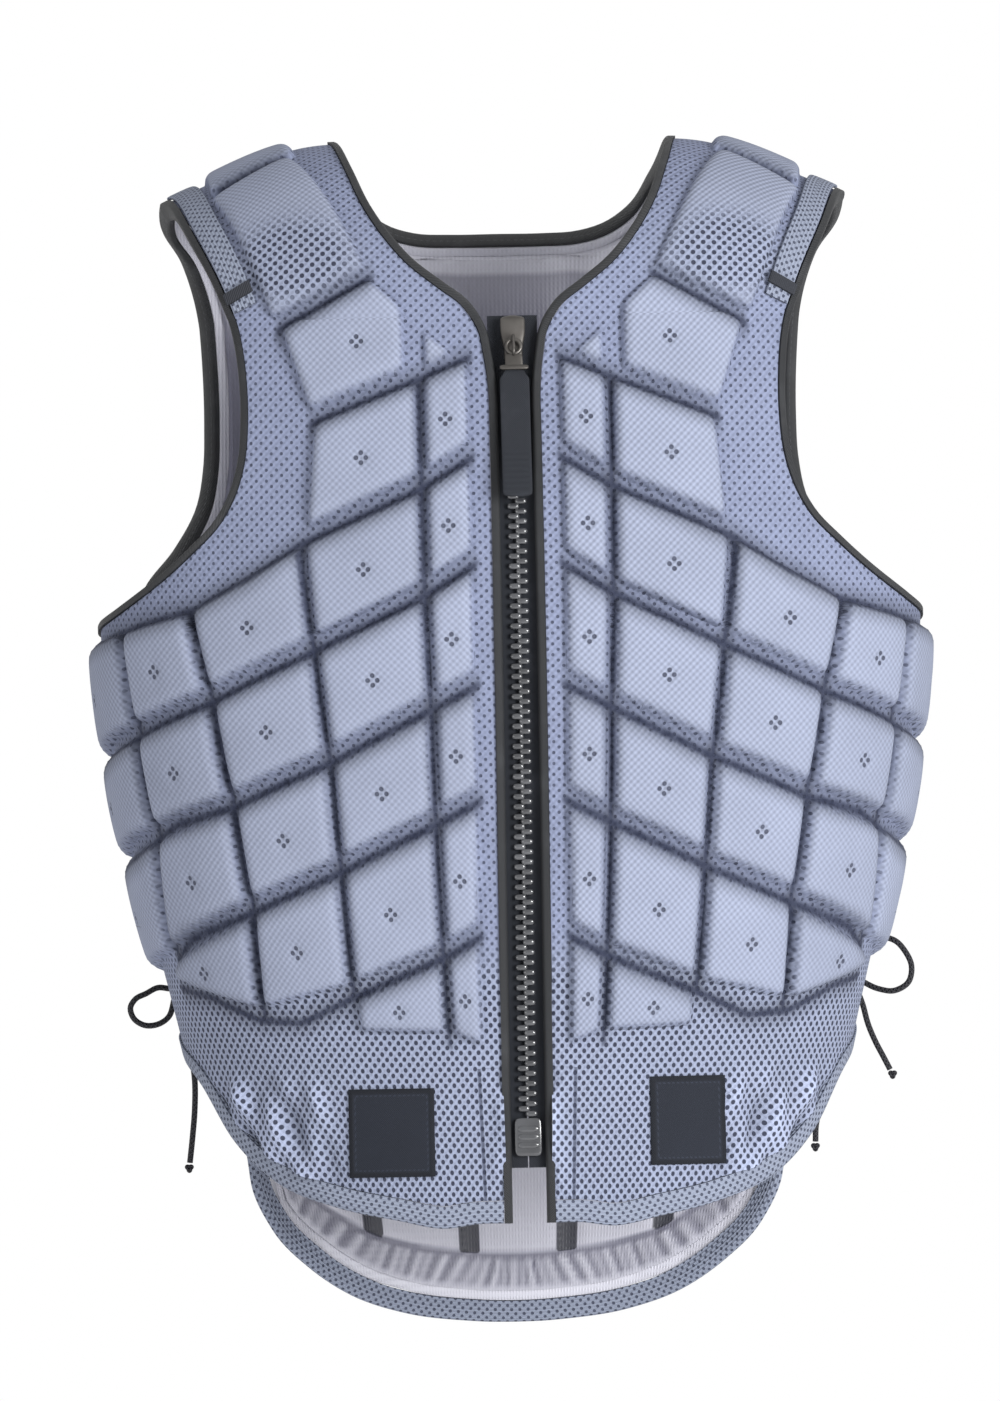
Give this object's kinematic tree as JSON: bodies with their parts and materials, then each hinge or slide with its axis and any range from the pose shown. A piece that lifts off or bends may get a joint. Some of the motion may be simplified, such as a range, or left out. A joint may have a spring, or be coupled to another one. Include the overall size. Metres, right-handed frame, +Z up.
{
  "type": "equestrian body protector",
  "caption": "Padded riding vest of raised foam tiles under air mesh, with a front zip, open armholes, a longer rounded back and laced sides.",
  "frame": {"origin": "on the body's middle line, between the wearer's shoulders, at the level of the shell's shoulder arch where it rests on the wearer", "axes": "+Z up, the zip faces -Y, +X is the wearer's left"},
  "size_m": [0.4206, 0.2728, 0.5931],
  "materials": {
    "air_mesh": "blue-grey three-dimensional spacer mesh",
    "edge_mesh": "open blue-grey mesh tape",
    "lining": "silvery woven lining with a slight sheen",
    "binding": "dark grey folded tape",
    "zip_tape": "charcoal woven tape",
    "zip_teeth": "glossy black moulded plastic",
    "zip_slider": "dark bronze",
    "webbing": "charcoal webbing",
    "label": "charcoal rubbery patch cloth",
    "lace": "black braided cord"
  },
  "bodies": {
    "shell": {"armhole_binding_back_l": "binding", "armhole_binding_back_r": "binding", "armhole_binding_front_l": "binding", "armhole_binding_front_r": "binding", "back_lining": "lining", "back_panel": "air_mesh", "front_panel_l": "air_mesh", "front_panel_r": "air_mesh", "front_piping_l": "binding", "front_piping_r": "binding", "hem_band_back": "edge_mesh", "hem_band_front_l": "edge_mesh", "hem_band_front_r": "edge_mesh", "label_l": "label", "label_r": "label", "lace_end_l": "lace", "lace_end_r": "lace", "lace_knot_l": "lace", "lace_knot_r": "lace", "lace_loop_l": "lace", "lace_loop_r": "lace", "lace_tail_l": "lace", "lace_tip_end_l": "lace", "lace_tip_end_r": "lace", "lace_tip_tail_l": "lace", "lacing_strip_back_l": "webbing", "lacing_strip_back_r": "webbing", "lacing_strip_front_l": "webbing", "lacing_strip_front_r": "webbing", "neck_binding_back": "binding", "shoulder_strap_l": "edge_mesh", "shoulder_strap_r": "edge_mesh", "side_lace_l": "lace", "side_lace_r": "lace", "strap_keeper_l": "webbing", "strap_keeper_r": "webbing", "zip_box": "zip_teeth", "zip_slider": "zip_slider", "zip_tape_l": "zip_tape", "zip_tape_r": "zip_tape", "zip_teeth": "zip_teeth"},
    "pull": {"zip_pull": "zip_tape"}
  },
  "joints": [
    {"name": "pull_swing", "type": "hinge", "parent": "shell", "child": "pull", "pos_m": [0, -0.1157, -0.08451], "axis": [-1, 0, 0], "range_deg": [0, 150]}
  ]
}
